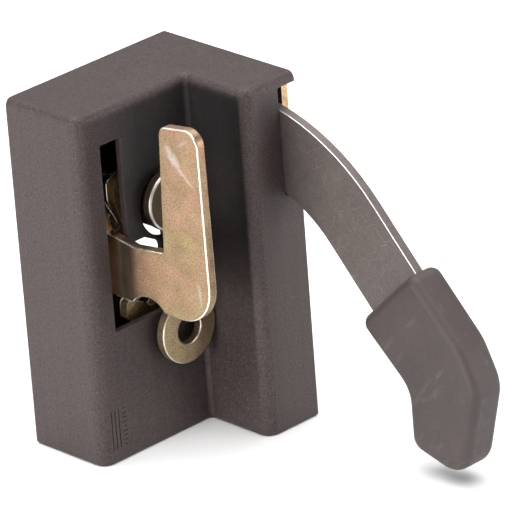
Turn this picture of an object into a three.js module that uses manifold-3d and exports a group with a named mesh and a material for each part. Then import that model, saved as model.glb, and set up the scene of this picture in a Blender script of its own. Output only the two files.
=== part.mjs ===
// Gravity gate latch: a moulded L-shaped cover over a bent steel base, a plated latch arm on a square
// spindle, and a curved hand lever with a soft grip that lifts the arm through a crank. Millimetres, +Z up.
//
// Everything is drawn in housing coordinates: X runs along the short wing, Y along the long wing and Z up,
// from the outer bottom corner, so the body of the latch lies at X > 0, Y < 0 and Z > 0. The last group
// moves it so that the origin is the middle of the face that screws to the gate post.

import * as THREE from "three";
import { mergeVertices } from "three/addons/utils/BufferGeometryUtils.js";
import Module from "manifold-3d";

const wasm = await Module();
wasm.setup();

// ---------------------------------------------------------------- driving dimensions

const HEIGHT = 115; // cover, bottom to top
const LONG_WING = 66.5; // cover length along -Y
const LONG_WING_THICK = 30.5; // along X
const SHORT_WING = 56; // cover length along X
const SHORT_WING_THICK = 21; // along Y
const WALL = 2; // moulded side walls
const CAP = 3.6; // moulded top and bottom
const EDGE = 3; // rounding of the cover's upper and upright edges
const BOTTOM_EDGE = 1.2; // rounding of its lower edges
const RIM_EDGE = 0.8; // rounding of the upper edge along its open sides

const GAP = 0.3; // clearance between pieces that touch
const ARC_ERROR = 0.04; // furthest a facet may lie from its true arc
const SHEET = 2.5; // base plate
const FRAME_SHEET = 3.2; // inner frame plate
const ARM_SHEET = 3.3; // latch arm
const LEVER_SHEET = 3.2; // hand lever
const CRANK_SHEET = 3;

const SPINDLE = { x: 13, z: 77 }; // axis of the latch arm, along Y
const SPINDLE_SQUARE = 7;
const JOURNAL = 3.4; // radius of the spindle's round ends
const ARM_FRONT = -53.2; // front face of the latch arm
const CRANK_FRONT = -11.2;
const CRANK_PIN = { reach: 7.4, radius: 1.8 };

const LEVER_AXIS = { x: 23.5, z: 88 }; // axis of the hand lever, along Y
const LEVER_FRONT = -6.8;
const LEVER_PIVOT = 4; // radius
const LEVER_STOP = { x: 42, z: 75.8, radius: 2.5 };
const BLADE = { x: 39.65, z: 33.85, radius: 59.1, width: 26.2, slope: THREE.MathUtils.degToRad(47.5) };
const GRIP_THICK = 12.6;

const EAR = { back: -58, left: 0, right: 26, bottom: 62, top: 92 }; // front support of the spindle
const FRAME_LEFT = 21.3; // back face of the inner frame plate, facing the post
const BOSS = { y: -35.2, z: 75.6, radius: 6, bore: 2.6 }; // stand-off that carries the eye plate, along X
const BOSS_HOLE = { y: -32, z: 77.3, radius: 11.3 }; // in the cover, round the stand-off
const EYE_FACE = 36.2; // front face of the eye plate
const EYE_SHEET = 3;
const EYE_HEAD = { y: -34.6, z: 79.6, radius: 9.9 }; // its round end over the stand-off
const EYE = { y: -32.5, z: 36, radius: 11, hole: 4.7 };
const SPRING = { radius: 7, wire: 0.65, turns: 5, front: -48.6, back: -40.6 };

// ---------------------------------------------------------------- materials

const paint = (color, roughness, metalness) => new THREE.MeshStandardMaterial({ color, roughness, metalness });
const blackPlastic = paint(0x4a4444, 0.6, 0);
const yellowZinc = paint(0xb59a6c, 0.35, 0.9);
const darkSteel = paint(0x5d5a57, 0.45, 0.85);
const brightSteel = paint(0xb8b8b8, 0.3, 0.95);
const softVinyl = paint(0x35302f, 0.7, 0);
const nylon = paint(0xd8d4c8, 0.5, 0);

// ---------------------------------------------------------------- shapes and solids

// The angle that one straight side may span on an arc or a cylinder of this radius.
const facetAngle = (radius) => 2 * Math.acos(1 - ARC_ERROR / radius);

function arc(middle, radius, from, turn) {
  const count = Math.ceil(Math.abs(turn) / facetAngle(radius));
  return Array.from({ length: count + 1 }, (_, i) => {
    const angle = from + (turn * i) / count;
    return new THREE.Vector2(middle.x + radius * Math.cos(angle), middle.y + radius * Math.sin(angle));
  });
}

const disc = (u, v, radius) => new THREE.Shape(arc({ x: u, y: v }, radius, 0, 2 * Math.PI).slice(1));

// A closed outline from corners [u, v, radius], anticlockwise, each turned by an arc where it has a radius.
// It can be grown outwards all round, which widens the arcs of its outer corners and tightens the others.
function outline(corners, grow = 0) {
  const at = (i) => new THREE.Vector2(...corners[(i + corners.length) % corners.length].slice(0, 2));
  const points = corners.flatMap(([, , turn = 0], i) => {
    const back = at(i - 1).sub(at(i)).normalize();
    const ahead = at(i + 1).sub(at(i)).normalize();
    const half = back.angleTo(ahead) / 2;
    const inward = back.clone().add(ahead).normalize();
    const side = back.cross(ahead) < 0 ? 1 : -1; // 1 on an outer corner
    const corner = at(i).addScaledVector(inward, (-side * grow) / Math.sin(half));
    if (turn === 0) return [corner];
    const radius = turn + side * grow;
    const middle = corner.clone().addScaledVector(inward, radius / Math.sin(half));
    const start = corner.clone().addScaledVector(back, radius / Math.tan(half));
    return arc(middle, radius, start.sub(middle).angle(), side * (Math.PI - 2 * half));
  });
  return new THREE.Shape(points);
}

// A closed three.js geometry as a manifold-3d solid.
function solid(geometry) {
  const bare = geometry.clone();
  bare.deleteAttribute("normal");
  bare.deleteAttribute("uv");
  const merged = mergeVertices(bare, 1e-4);
  const vertProperties = merged.attributes.position.array;
  const triVerts = new Uint32Array(merged.index.array);
  return new wasm.Manifold(new wasm.Mesh({ numProp: 3, vertProperties, triVerts }));
}

// Where an outline's u and v, and the way it is extruded, lie in the housing.
const AXES = {
  x: new THREE.Matrix4().makeBasis(
    new THREE.Vector3(0, 1, 0),
    new THREE.Vector3(0, 0, 1),
    new THREE.Vector3(1, 0, 0),
  ),
  y: new THREE.Matrix4().makeBasis(
    new THREE.Vector3(1, 0, 0),
    new THREE.Vector3(0, 0, 1),
    new THREE.Vector3(0, -1, 0),
  ),
  z: new THREE.Matrix4(),
};

// A plate across one axis from low to high, drawn in (Y, Z), (X, Z) or (X, Y), with rounded rims.
function plate(axis, shape, low, high, rim = 0, rimSteps = 1) {
  const geometry = new THREE.ExtrudeGeometry(shape, {
    depth: high - low - 2 * rim,
    bevelEnabled: rim > 0,
    bevelSize: rim,
    bevelThickness: rim,
    bevelOffset: -rim,
    bevelSegments: rimSteps,
  });
  const start = axis === "y" ? -high : low;
  geometry.translate(0, 0, start + rim);
  geometry.applyMatrix4(AXES[axis]);
  return solid(geometry);
}

function box(x, y, z) {
  const corners = [[x[0], y[0]], [x[1], y[0]], [x[1], y[1]], [x[0], y[1]]];
  return plate("z", outline(corners), z[0], z[1]);
}

// A cylinder or cone along an axis. Its centre is (Y, Z) for x and (X, Z) for y.
function cylinder(axis, centre, radius, low, high, highRadius = radius) {
  const sides = 4 * Math.ceil(Math.PI / 2 / facetAngle(Math.max(radius, highRadius)));
  const geometry = new THREE.CylinderGeometry(highRadius, radius, high - low, sides);
  geometry.translate(0, (low + high) / 2, 0);
  if (axis === "x") {
    geometry.rotateZ(-Math.PI / 2);
    geometry.translate(0, centre[0], centre[1]);
  } else {
    geometry.translate(centre[0], 0, centre[1]);
  }
  return solid(geometry);
}

const tube = (axis, centre, inner, outer, low, high) =>
  cylinder(axis, centre, outer, low, high).subtract(cylinder(axis, centre, inner, low - 1, high + 1));

const square = (low, high, side) => {
  const half = side / 2;
  const x = [SPINDLE.x - half, SPINDLE.x + half];
  const z = [SPINDLE.z - half, SPINDLE.z + half];
  return box(x, [low, high], z);
};

// A named mesh from a solid.
function piece(name, body, material) {
  const { vertProperties, triVerts } = body.getMesh();
  const geometry = new THREE.BufferGeometry();
  geometry.setAttribute("position", new THREE.BufferAttribute(vertProperties, 3));
  geometry.setIndex(new THREE.BufferAttribute(triVerts, 1));
  geometry.computeVertexNormals();
  const mesh = new THREE.Mesh(geometry, material);
  mesh.name = name;
  return mesh;
}

// ---------------------------------------------------------------- where the fasteners sit

const spindleAxis = [SPINDLE.x, SPINDLE.z];
const leverAxis = [LEVER_AXIS.x, LEVER_AXIS.z];
const stopAxis = [LEVER_STOP.x, LEVER_STOP.z];
const bossAxis = [BOSS.y, BOSS.z];
const FRAME_RIVETS = [16, 36, 56].map((z) => [33, z]); // (X, Z), through the base and the frame's foot
const COVER_SCREWS = [
  { axis: "y", at: [46, 14] },
  { axis: "y", at: [46, 62] },
  { axis: "x", at: [-53, 14] },
  { axis: "x", at: [-43, 105] },
];
const POST_HOLES = [[-12, 24], [-12, 96], [-44, 24], [-44, 96]]; // (Y, Z), in the face on the post

// ---------------------------------------------------------------- cover

// The opening in the long wing: a tall slot that the arm works in, over a wider window.
function armOpening() {
  const corners = [
    [-57.3, 42.6, 0.6],
    [-37, 42.6, 0.6],
    [-35.7, 65, 3],
    [-42.4, 68.6, 2],
    [-49.3, 68.6],
    [-49.3, 103.6, 0.6],
    [-57.3, 103.6, 0.6],
  ];
  return plate("x", outline(corners), LONG_WING_THICK - WALL - 1, LONG_WING_THICK + 1);
}

// A round post inside the cover, with a blind hole open at its end, that a cover screw bites in.
function screwPost({ axis, at }) {
  const inner = axis === "x" ? LONG_WING_THICK - WALL : SHORT_WING_THICK - WALL;
  const mouth = SHEET + GAP;
  const depth = 14;
  const along = (radius, near, far) =>
    axis === "x" ? cylinder("x", at, radius, near, far) : cylinder("y", at, radius, -far, -near);
  return { post: along(4, mouth, inner + 0.5), hole: along(1.7, mouth - 1, mouth + depth) };
}

function cover() {
  const corner = EDGE + 1;
  const beyond = 5; // the shell is drawn past the two open faces on the base, and cut off square there
  const outside = outline([
    [-beyond, beyond],
    [-beyond, -LONG_WING],
    [LONG_WING_THICK, -LONG_WING, corner],
    [LONG_WING_THICK, -SHORT_WING_THICK, 1.5],
    [SHORT_WING, -SHORT_WING_THICK, corner],
    [SHORT_WING, beyond],
  ]);
  const footprint = outline([
    [0, 0, 1],
    [0, -LONG_WING - 1],
    [SHORT_WING + 1, -LONG_WING - 1],
    [SHORT_WING + 1, 0],
  ]);
  const block = plate("z", outside, -10, HEIGHT, EDGE, 3)
    .intersect(plate("z", outside, 0, HEIGHT + 10, BOTTOM_EDGE))
    .intersect(plate("z", footprint, -1, HEIGHT, RIM_EDGE));
  const inside = outline([
    [-beyond, beyond],
    [-beyond, WALL - LONG_WING],
    [LONG_WING_THICK - WALL, WALL - LONG_WING, 1],
    [LONG_WING_THICK - WALL, WALL - SHORT_WING_THICK, 1],
    [SHORT_WING - WALL, WALL - SHORT_WING_THICK, 1],
    [SHORT_WING - WALL, beyond],
  ]);
  const leverNotch = box([SHORT_WING - WALL - 1, SHORT_WING + 1], [-7.1, 1], [76.4, HEIGHT - CAP]);
  const { y, z, radius } = BOSS_HOLE;
  const bossHole = cylinder("x", [y, z], radius, LONG_WING_THICK - WALL - 1, LONG_WING_THICK + 1);
  const shell = block.subtract(plate("z", inside, CAP, HEIGHT - CAP)).subtract(leverNotch);
  return COVER_SCREWS.map(screwPost)
    .reduce((body, { post, hole }) => body.add(post).subtract(hole), shell)
    .subtract(armOpening())
    .subtract(bossHole);
}

// ---------------------------------------------------------------- base plate and inner frame

// One bent sheet: a back flange, the face on the post, and an ear that carries the spindle's front end.
function basePlate() {
  const right = SHORT_WING - WALL - 4 * GAP;
  const bend = 3;
  const earFront = EAR.back - SHEET;
  const plan = outline([
    [right, 0],
    [0, 0, bend],
    [EAR.left, earFront, bend],
    [EAR.right, earFront],
    [EAR.right, EAR.back],
    [SHEET, EAR.back, 0.8],
    [SHEET, -SHEET, 0.8],
    [right, -SHEET],
  ]);
  const low = CAP + 0.4;
  const high = HEIGHT - CAP - 0.4;
  const earCut = [SHEET + 1, EAR.right + 1];
  const earDepth = [earFront - 1, EAR.back + 1];
  const cuts = [
    box(earCut, earDepth, [low - 1, EAR.bottom]),
    box(earCut, earDepth, [EAR.top, high + 1]),
    plate("x", outline([[-24, 38, 3], [-5, 38, 3], [-5, 60, 3], [-24, 60, 3]]), -1, SHEET + 1),
    cylinder("y", spindleAxis, 5.4, -SHEET - 1, 1),
    cylinder("y", spindleAxis, 5.4, earFront - 1, EAR.back + 1),
    cylinder("y", leverAxis, LEVER_PIVOT + 0.2, -SHEET - 1, 1),
    cylinder("y", stopAxis, LEVER_STOP.radius + 0.2, -SHEET - 1, 1),
    ...FRAME_RIVETS.map((at) => cylinder("y", at, 2.7, -SHEET - 1, 1)),
    ...POST_HOLES.map((at) => cylinder("x", at, 3.3, -1, SHEET + 1)),
    ...COVER_SCREWS.map(({ axis, at }) => screwClearance(axis, at)),
  ];
  return cuts.reduce((body, cut) => body.subtract(cut), plate("z", plan, low, high));
}

// The countersunk hole that a cover screw's head sits in.
function screwClearance(axis, at) {
  if (axis === "x") {
    return cylinder("x", at, 3.9, -0.01, 2, 2).add(cylinder("x", at, 2, 1, SHEET + 1));
  }
  return cylinder("y", at, 2, -2, 0.01, 3.9).add(cylinder("y", at, 2, -SHEET - 1, -1));
}

// A plate beside the spindle with an upper arm for the boss, a lower arm, and a foot on the back flange.
function framePlate() {
  const right = FRAME_LEFT + FRAME_SHEET;
  const back = -SHEET - GAP;
  const plan = outline([
    [FRAME_LEFT, -49],
    [right, -49],
    [right, back - FRAME_SHEET, 1],
    [40, back - FRAME_SHEET],
    [40, back],
    [FRAME_LEFT, back, 3.5],
  ]);
  const side = outline([
    [0, 8],
    [0, 64, 3],
    [-12, 68, 3],
    [-12, 92, 4],
    [-36, 92, 6],
    [-48, 86.2, 1.5],
    [-48, 80.6, 1.5],
    [-45, 71.2, 2],
    [-28, 71.2, 4],
    [-27, 50, 4],
    [-36, 41.2, 2],
    [-40.2, 44.6, 1.5],
    [-46.2, 47.2, 1],
    [-46.8, 41.6, 1],
    [-40.8, 37.6, 3],
    [-27, 26, 5],
    [-24, 8],
  ]);
  const bent = plate("z", plan, 7, 93);
  const foot = box([right, 41], [back - FRAME_SHEET - 1, back + 1], [0, 64]);
  const web = box([FRAME_LEFT - 1, right], [-50, 0], [0, 100]);
  const trimmed = bent.intersect(plate("x", side, FRAME_LEFT - 1, 41)).intersect(foot.add(web));
  return FRAME_RIVETS.map((at) => cylinder("y", at, 2.7, -8, 0)).reduce(
    (body, hole) => body.subtract(hole),
    trimmed.subtract(cylinder("x", bossAxis, BOSS.bore, FRAME_LEFT - 1, right + 1)),
  );
}

// Solid rivet along Y through the base and the frame's foot, flush at the back.
function frameRivet(at) {
  const footFace = -SHEET - GAP - FRAME_SHEET;
  return cylinder("y", at, 2.4, footFace - 1, -0.1).add(cylinder("y", at, 3.4, footFace - 2.1, footFace - GAP, 4.4));
}

function coverScrew({ axis, at }) {
  const length = 12;
  if (axis === "x") {
    return cylinder("x", at, 3.6, 0.1, 1.9, 1.4).add(cylinder("x", at, 1.4, 1.5, length));
  }
  return cylinder("y", at, 1.4, -1.9, -0.1, 3.6).add(cylinder("y", at, 1.4, -length, -1.5));
}

// ---------------------------------------------------------------- eye plate on its boss

function standOff() {
  const low = FRAME_LEFT + FRAME_SHEET + GAP;
  return tube("x", bossAxis, BOSS.bore, BOSS.radius, low, EYE_FACE - EYE_SHEET - GAP);
}

// A round head over the stand-off and an eye for a locking pin or cable, joined by a straight neck.
function eyePlate() {
  const low = EYE_FACE - EYE_SHEET;
  const inHead = EYE_HEAD.z - 4;
  const inEye = EYE.z + 4;
  const neck = outline([[-36.5, inEye], [-26.4, inEye], [-26.4, inHead], [-36.5, inHead]]);
  return plate("x", disc(EYE_HEAD.y, EYE_HEAD.z, EYE_HEAD.radius), low, EYE_FACE, 0.9, 2)
    .add(plate("x", disc(EYE.y, EYE.z, EYE.radius), low, EYE_FACE, 0.4))
    .add(plate("x", neck, low, EYE_FACE, 0.4))
    .subtract(cylinder("x", [EYE.y, EYE.z], EYE.hole, low - 1, EYE_FACE + 1))
    .subtract(cylinder("x", bossAxis, BOSS.bore, low - 1, EYE_FACE + 1))
    .subtract(cylinder("x", bossAxis, BOSS.bore, EYE_FACE - 2.2, EYE_FACE + 0.1, 4));
}

function bossRivet() {
  const shank = BOSS.bore - GAP;
  return cylinder("x", bossAxis, shank, FRAME_LEFT - 1, EYE_FACE - 1)
    .add(cylinder("x", bossAxis, shank, EYE_FACE - 1.8, EYE_FACE - 0.1, 3.5))
    .add(cylinder("x", bossAxis, 3.4, FRAME_LEFT - 1.9, FRAME_LEFT - GAP, 4.2));
}

// ---------------------------------------------------------------- spindle group

function spindle() {
  const shoulder = { front: -56.8, back: -8 };
  const groove = tube("y", spindleAxis, 2.7, 6, -61.7, -60.7);
  return square(shoulder.front, shoulder.back, SPINDLE_SQUARE)
    .add(cylinder("y", spindleAxis, JOURNAL, -62.7, shoulder.front + 1))
    .add(cylinder("y", spindleAxis, JOURNAL, shoulder.back - 1, -0.2))
    .subtract(groove);
}

// Flanged sleeve: the body sits in the sheet, the flange faces the middle of the spindle.
function bush(bodyLow, bodyHigh, flangeLow, flangeHigh) {
  const inner = JOURNAL + 0.08;
  return tube("y", spindleAxis, inner, 5.2, bodyLow, bodyHigh).add(
    tube("y", spindleAxis, inner, 6.4, flangeLow, flangeHigh),
  );
}

function retainingClip(centre, inner, outer, low, high) {
  const mouth = box([centre[0] - 1.6, centre[0] + 1.6], [low - 1, high + 1], [centre[1] - outer - 1, centre[1]]);
  return tube("y", centre, inner, outer, low, high).subtract(mouth);
}

// Flat arm: a hub on the spindle, a foot out through the cover, an upright finger and a rounded toe.
function latchArm() {
  const profile = outline([
    [26, 52.2, 6],
    [69, 51.8, 13],
    [68.4, 116.2, 5],
    [52.1, 114, 3.5],
    [49.9, 72.6, 0.8],
    [37, 70.9, 3],
    [25, 72.8, 3],
    [20, 84, 4],
    [8, 84, 4],
    [5, 72, 4],
  ]);
  const back = ARM_FRONT + ARM_SHEET;
  return plate("y", profile, ARM_FRONT, back, 0.6, 2)
    .add(plate("y", disc(...spindleAxis, 9.6), ARM_FRONT, back, 0.6, 2))
    .subtract(cylinder("y", [41.5, 46.4], 9, ARM_FRONT - 1, back + 1)) // scallop under the foot
    .subtract(square(ARM_FRONT - 1, back + 1, SPINDLE_SQUARE + 0.5));
}

// Small plate that turns with the spindle and holds the pin that the lever's tail pushes down.
function liftCrank() {
  const pinX = SPINDLE.x - CRANK_PIN.reach;
  const back = CRANK_FRONT + CRANK_SHEET;
  const arm = box([pinX, SPINDLE.x], [CRANK_FRONT, back], [SPINDLE.z - 2.3, SPINDLE.z + 2.3]);
  return cylinder("y", spindleAxis, 7.2, CRANK_FRONT, back)
    .add(cylinder("y", [pinX, SPINDLE.z], 2.6, CRANK_FRONT, back))
    .add(arm)
    .subtract(square(CRANK_FRONT - 1, back + 1, SPINDLE_SQUARE + 0.5))
    .subtract(cylinder("y", [pinX, SPINDLE.z], CRANK_PIN.radius, CRANK_FRONT - 1, back + 1));
}

function crankPin() {
  return cylinder("y", [SPINDLE.x - CRANK_PIN.reach, SPINDLE.z], CRANK_PIN.radius - 0.15, CRANK_FRONT, -3.9);
}

// Torsion spring round the sleeve: one leg lies on top of the arm's foot, the other against the frame.
function returnSpring() {
  const leaves = 0.11; // fraction of a turn from the top of the coil to where the front leg leaves it
  const coil = (turn) => {
    const angle = Math.PI / 2 - 2 * Math.PI * (leaves + turn);
    const y = THREE.MathUtils.lerp(SPRING.front, SPRING.back, turn / SPRING.turns);
    const x = SPINDLE.x + SPRING.radius * Math.cos(angle);
    return new THREE.Vector3(x, y, SPINDLE.z + SPRING.radius * Math.sin(angle));
  };
  const legHeight = 73 + SPRING.wire + GAP;
  const points = [
    new THREE.Vector3(28.6, -53.6, legHeight),
    new THREE.Vector3(28, -51, legHeight),
    new THREE.Vector3(26.6, -49.3, legHeight + 0.8),
    new THREE.Vector3(22, -48.9, 78.6),
  ];
  const steps = 12 * SPRING.turns + 2;
  for (let i = 0; i <= steps; i += 1) points.push(coil((i / steps) * (SPRING.turns + 0.25 - leaves)));
  const last = points[points.length - 1];
  points.push(new THREE.Vector3(last.x, last.y, last.z - 4));
  points.push(new THREE.Vector3(last.x + 0.2, last.y, last.z - 8));
  const path = new THREE.CatmullRomCurve3(points);
  const section = new THREE.Shape().absarc(0, 0, SPRING.wire, 0, 2 * Math.PI);
  const geometry = new THREE.ExtrudeGeometry(section, { steps: 100, extrudePath: path, curveSegments: 3 });
  return solid(geometry);
}

// ---------------------------------------------------------------- hand lever group

// The lever's side view: a tail over the crank pin, a hub, a blade of even width that bends once and runs
// straight down at an angle, and a narrower tang inside the grip.
function leverCorners() {
  const { x, z, radius, width, slope } = BLADE;
  const upper = radius + width / 2;
  const lower = radius - width / 2;
  const reach = Math.tan(slope / 2); // from where an arc starts to its corner, over its radius
  const along = (edge, length) => [
    x + edge * Math.sin(slope) + length * Math.cos(slope),
    z + edge * Math.cos(slope) - length * Math.sin(slope),
  ];
  return [
    [3.4, 79.2],
    [5.9, 79.2],
    [7, 84.6, 2.5],
    [17, 84.6, 1.5],
    [20.5, 77.5, 4],
    [30, 77.5, 4],
    [34, z + lower, 4],
    [x + lower * reach, z + lower, lower],
    [...along(lower, 45), 4],
    [110.6, 24, 6],
    [111, 14, 3],
    [122.6, 12.4, 4],
    [130, 33, 6],
    [...along(upper, 44), 5],
    [x + upper * reach, z + upper, upper],
    [30, z + upper, 12],
    [3.4, 90, 3],
  ];
}

function lever() {
  const back = LEVER_FRONT + LEVER_SHEET;
  return plate("y", outline(leverCorners()), LEVER_FRONT, back, 0.4).subtract(
    cylinder("y", leverAxis, 5.8, LEVER_FRONT - 1, back + 1),
  );
}

// Soft sleeve over the lever's tang, bent down at the end.
function grip() {
  const side = outline([
    [87.9, 44.6, 3.5],
    [106.8, 27.2, 10],
    [107, 8.6, 5],
    [128.6, 2.8, 9],
    [136.2, 34, 12],
    [129.8, 47, 16],
    [111, 66.6, 3.5],
  ]);
  const middle = LEVER_FRONT + LEVER_SHEET / 2;
  const reach = LEVER_SHEET / 2 + GAP;
  const socket = plate("y", outline(leverCorners(), GAP), middle - reach, middle + reach);
  return plate("y", side, middle - GRIP_THICK / 2, middle + GRIP_THICK / 2, 3, 3).subtract(socket);
}

function leverPivot() {
  return cylinder("y", leverAxis, LEVER_PIVOT - 0.02, -10.2, -0.1).subtract(
    tube("y", leverAxis, 3.2, 6, -9.3, -8.3),
  );
}

// ---------------------------------------------------------------- assembly

const latch = new THREE.Group();
latch.add(
  piece("cover", cover(), blackPlastic),
  piece("base_plate", basePlate(), yellowZinc),
  piece("frame_plate", framePlate(), yellowZinc),
  piece("stand_off", standOff(), yellowZinc),
  piece("eye_plate", eyePlate(), yellowZinc),
  piece("boss_rivet", bossRivet(), yellowZinc),
);
FRAME_RIVETS.forEach((at, i) => latch.add(piece(`frame_rivet_${i + 1}`, frameRivet(at), brightSteel)));
COVER_SCREWS.forEach((screw, i) => latch.add(piece(`cover_screw_${i + 1}`, coverScrew(screw), brightSteel)));

// Everything that turns with the spindle.
const arm = new THREE.Group();
arm.add(
  piece("spindle", spindle(), brightSteel),
  piece("latch_arm", latchArm(), yellowZinc),
  piece("lift_crank", liftCrank(), yellowZinc),
  piece("crank_pin", crankPin(), brightSteel),
  piece("front_spacer", tube("y", spindleAxis, 5.2, 6.8, -56.7, ARM_FRONT - GAP), brightSteel),
  piece("spring_sleeve", tube("y", spindleAxis, 5.2, 5.9, ARM_FRONT + ARM_SHEET + GAP, CRANK_FRONT - GAP), nylon),
  piece("rear_spacer", tube("y", spindleAxis, JOURNAL + 0.08, 4.4, -7.9, -3.6), brightSteel),
  piece("spindle_clip", retainingClip(spindleAxis, 2.8, 6, -61.55, -60.85), brightSteel),
);
latch.add(
  arm,
  piece("front_bush", bush(-60.3, EAR.back + 0.1, -57.9, -57.1), nylon),
  piece("rear_bush", bush(-2.7, -0.2, -3.3, -2.65), nylon),
  piece("return_spring", returnSpring(), brightSteel),
);

// The lever, what turns with it, and what it turns on.
const handle = new THREE.Group();
handle.add(
  piece("lever", lever(), darkSteel),
  piece("grip", grip(), softVinyl),
  piece("lever_bush", tube("y", leverAxis, LEVER_PIVOT + 0.06, 5.6, LEVER_FRONT - 0.1, -3.5), nylon),
);
const stopSleeve = tube("y", stopAxis, LEVER_STOP.radius + 0.1, 3.7, -7.2, -2.8);
latch.add(
  handle,
  piece("lever_pivot", leverPivot(), brightSteel),
  piece("lever_washer_rear", tube("y", leverAxis, LEVER_PIVOT + 0.3, 7.5, -3.35, -2.75), brightSteel),
  piece("lever_washer_front", tube("y", leverAxis, LEVER_PIVOT + 0.3, 7.5, -7.8, -7.1), brightSteel),
  piece("lever_clip", retainingClip(leverAxis, 3.4, 6.6, -9.15, -8.45), brightSteel),
  piece("lever_stop", cylinder("y", stopAxis, LEVER_STOP.radius, -7.4, -0.1), brightSteel),
  piece("stop_sleeve", stopSleeve, softVinyl),
);

// Origin: the middle of the face on the post.
latch.position.set(0, LONG_WING / 2, -HEIGHT / 2);
const part = new THREE.Group();
part.add(latch);

export default part;
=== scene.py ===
"""The looks of the gravity gate latch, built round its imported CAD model.

The shapes are drawn in housing millimetres, as the CAD source draws them: X along the short wing, Y along
the long wing and Z up, from the cover's outer bottom corner. dressed() turns them into metres in the frame.
"""

import math

import bmesh
import bpy
from mathutils import Matrix, Vector


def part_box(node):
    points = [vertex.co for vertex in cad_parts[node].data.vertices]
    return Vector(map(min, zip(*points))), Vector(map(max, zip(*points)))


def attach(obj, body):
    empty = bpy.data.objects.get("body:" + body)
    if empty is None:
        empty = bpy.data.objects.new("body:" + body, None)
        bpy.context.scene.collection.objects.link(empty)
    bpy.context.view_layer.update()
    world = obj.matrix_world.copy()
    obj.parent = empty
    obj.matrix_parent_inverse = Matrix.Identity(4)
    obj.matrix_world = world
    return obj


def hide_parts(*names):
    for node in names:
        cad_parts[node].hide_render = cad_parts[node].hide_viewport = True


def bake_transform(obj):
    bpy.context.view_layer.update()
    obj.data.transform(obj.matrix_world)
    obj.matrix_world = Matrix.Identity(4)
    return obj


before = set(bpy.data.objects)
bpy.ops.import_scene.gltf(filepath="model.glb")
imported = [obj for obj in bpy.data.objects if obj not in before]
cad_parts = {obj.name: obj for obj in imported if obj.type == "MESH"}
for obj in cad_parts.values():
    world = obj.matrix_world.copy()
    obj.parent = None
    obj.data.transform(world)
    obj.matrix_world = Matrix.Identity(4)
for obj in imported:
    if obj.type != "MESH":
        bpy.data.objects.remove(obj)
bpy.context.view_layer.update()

# ------------------------------------------------------------------ driving dimensions, in millimetres

MM = 0.001
HEIGHT = 115.0
LONG_WING = 66.5
LONG_WING_THICK = 30.5
SHORT_WING = 56.0
SHORT_WING_THICK = 21.0
WALL = 2.0
CAP = 3.6
SHEET = 2.5
FRAME_SHEET = 3.2
FRAME_LEFT = 21.3
GAP = 0.3  # clearance between pieces that touch

EAR_BACK = -58.0
SPINDLE = (13.0, 77.0)  # (X, Z)
SPINDLE_SQUARE = 7.0
SPINDLE_JOURNAL = 3.4
ARM_FACES = (-53.2, -49.9)
LEVER_AXIS = (23.5, 88.0)  # (X, Z)
LEVER_STOP = (42.0, 75.8)  # (X, Z)
LEVER_FACES = (-6.8, -3.6)
BOSS = (-35.2, 75.6)  # (Y, Z), as are the next three
BOSS_HOLE = (-32.0, 77.3)
EYE_HEAD = (-34.6, 79.6)
EYE = (-32.5, 36.0)
BOSS_BORE = 2.6
EYE_FACES = (33.2, 36.2)
FRAME_RIVETS = [(33.0, z) for z in (16.0, 36.0, 56.0)]  # (X, Z)
RIVET_BORE = 2.7
COVER_SCREWS = [  # axis, then (X, Z) or (Y, Z)
    ("y", (46.0, 14.0)),
    ("y", (46.0, 62.0)),
    ("x", (-53.0, 14.0)),
    ("x", (-43.0, 105.0)),
]
POST_HOLES = [(y, z) for y in (-12.0, -44.0) for z in (24.0, 96.0)]

cover_low, cover_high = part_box("cover")
CORNER = Vector((cover_low.x, cover_high.y, cover_low.z))  # the housing's own origin, in the frame

# ------------------------------------------------------------------ outlines and solids


def rounded(corners, grow=0.0):
    """Points of a closed anticlockwise outline from (u, v, radius) corners, grown outwards all round."""
    points = []
    for i, corner in enumerate(corners):
        at = Vector(corner[:2])
        back = (Vector(corners[i - 1][:2]) - at).normalized()
        ahead = (Vector(corners[(i + 1) % len(corners)][:2]) - at).normalized()
        half = back.angle(ahead) / 2
        inward = (back + ahead).normalized()
        side = 1 if back.cross(ahead) < 0 else -1
        at = at - inward * (side * grow / math.sin(half))
        turn = corner[2] if len(corner) > 2 else 0.0
        if turn == 0:
            points.append(at)
            continue
        radius = turn + side * grow
        middle = at + inward * (radius / math.sin(half))
        start = at + back * (radius / math.tan(half)) - middle
        sweep = side * (math.pi - 2 * half)
        finest = math.radians(4 if turn > 20 else 9)
        steps = max(4, math.ceil(abs(sweep) / finest))
        first = math.atan2(start.y, start.x)
        for k in range(steps + 1):
            angle = first + sweep * k / steps
            points.append(middle + Vector((math.cos(angle), math.sin(angle))) * radius)
    return points


def disc(centre, radius, sides=64):
    """Corners of a round outline, as a polygon with no further rounding."""
    turns = [2 * math.pi * k / sides for k in range(sides)]
    return [(centre[0] + radius * math.cos(a), centre[1] + radius * math.sin(a)) for a in turns]


def oblong(u, v, radius=0.0):
    """Corners of a rectangle over two (low, high) ranges."""
    return [(u[0], v[0], radius), (u[1], v[0], radius), (u[1], v[1], radius), (u[0], v[1], radius)]


def either_side(at, half):
    """The range that reaches as far to both sides of a place."""
    return at - half, at + half


def round_ends(low, high, low_rim, high_rim=None, steps=6):
    """Rings (level, grow) of a plate whose two rims are quarter rounds."""
    high_rim = low_rim if high_rim is None else high_rim
    turns = [math.pi / 2 * k / steps for k in range(steps + 1)]
    start = [(low + low_rim * (1 - math.cos(a)), low_rim * (math.sin(a) - 1)) for a in turns]
    end = [(high - high_rim * (1 - math.cos(a)), high_rim * (math.sin(a) - 1)) for a in reversed(turns)]
    return (start if low_rim else [(low, 0.0)]) + (end if high_rim else [(high, 0.0)])


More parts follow.
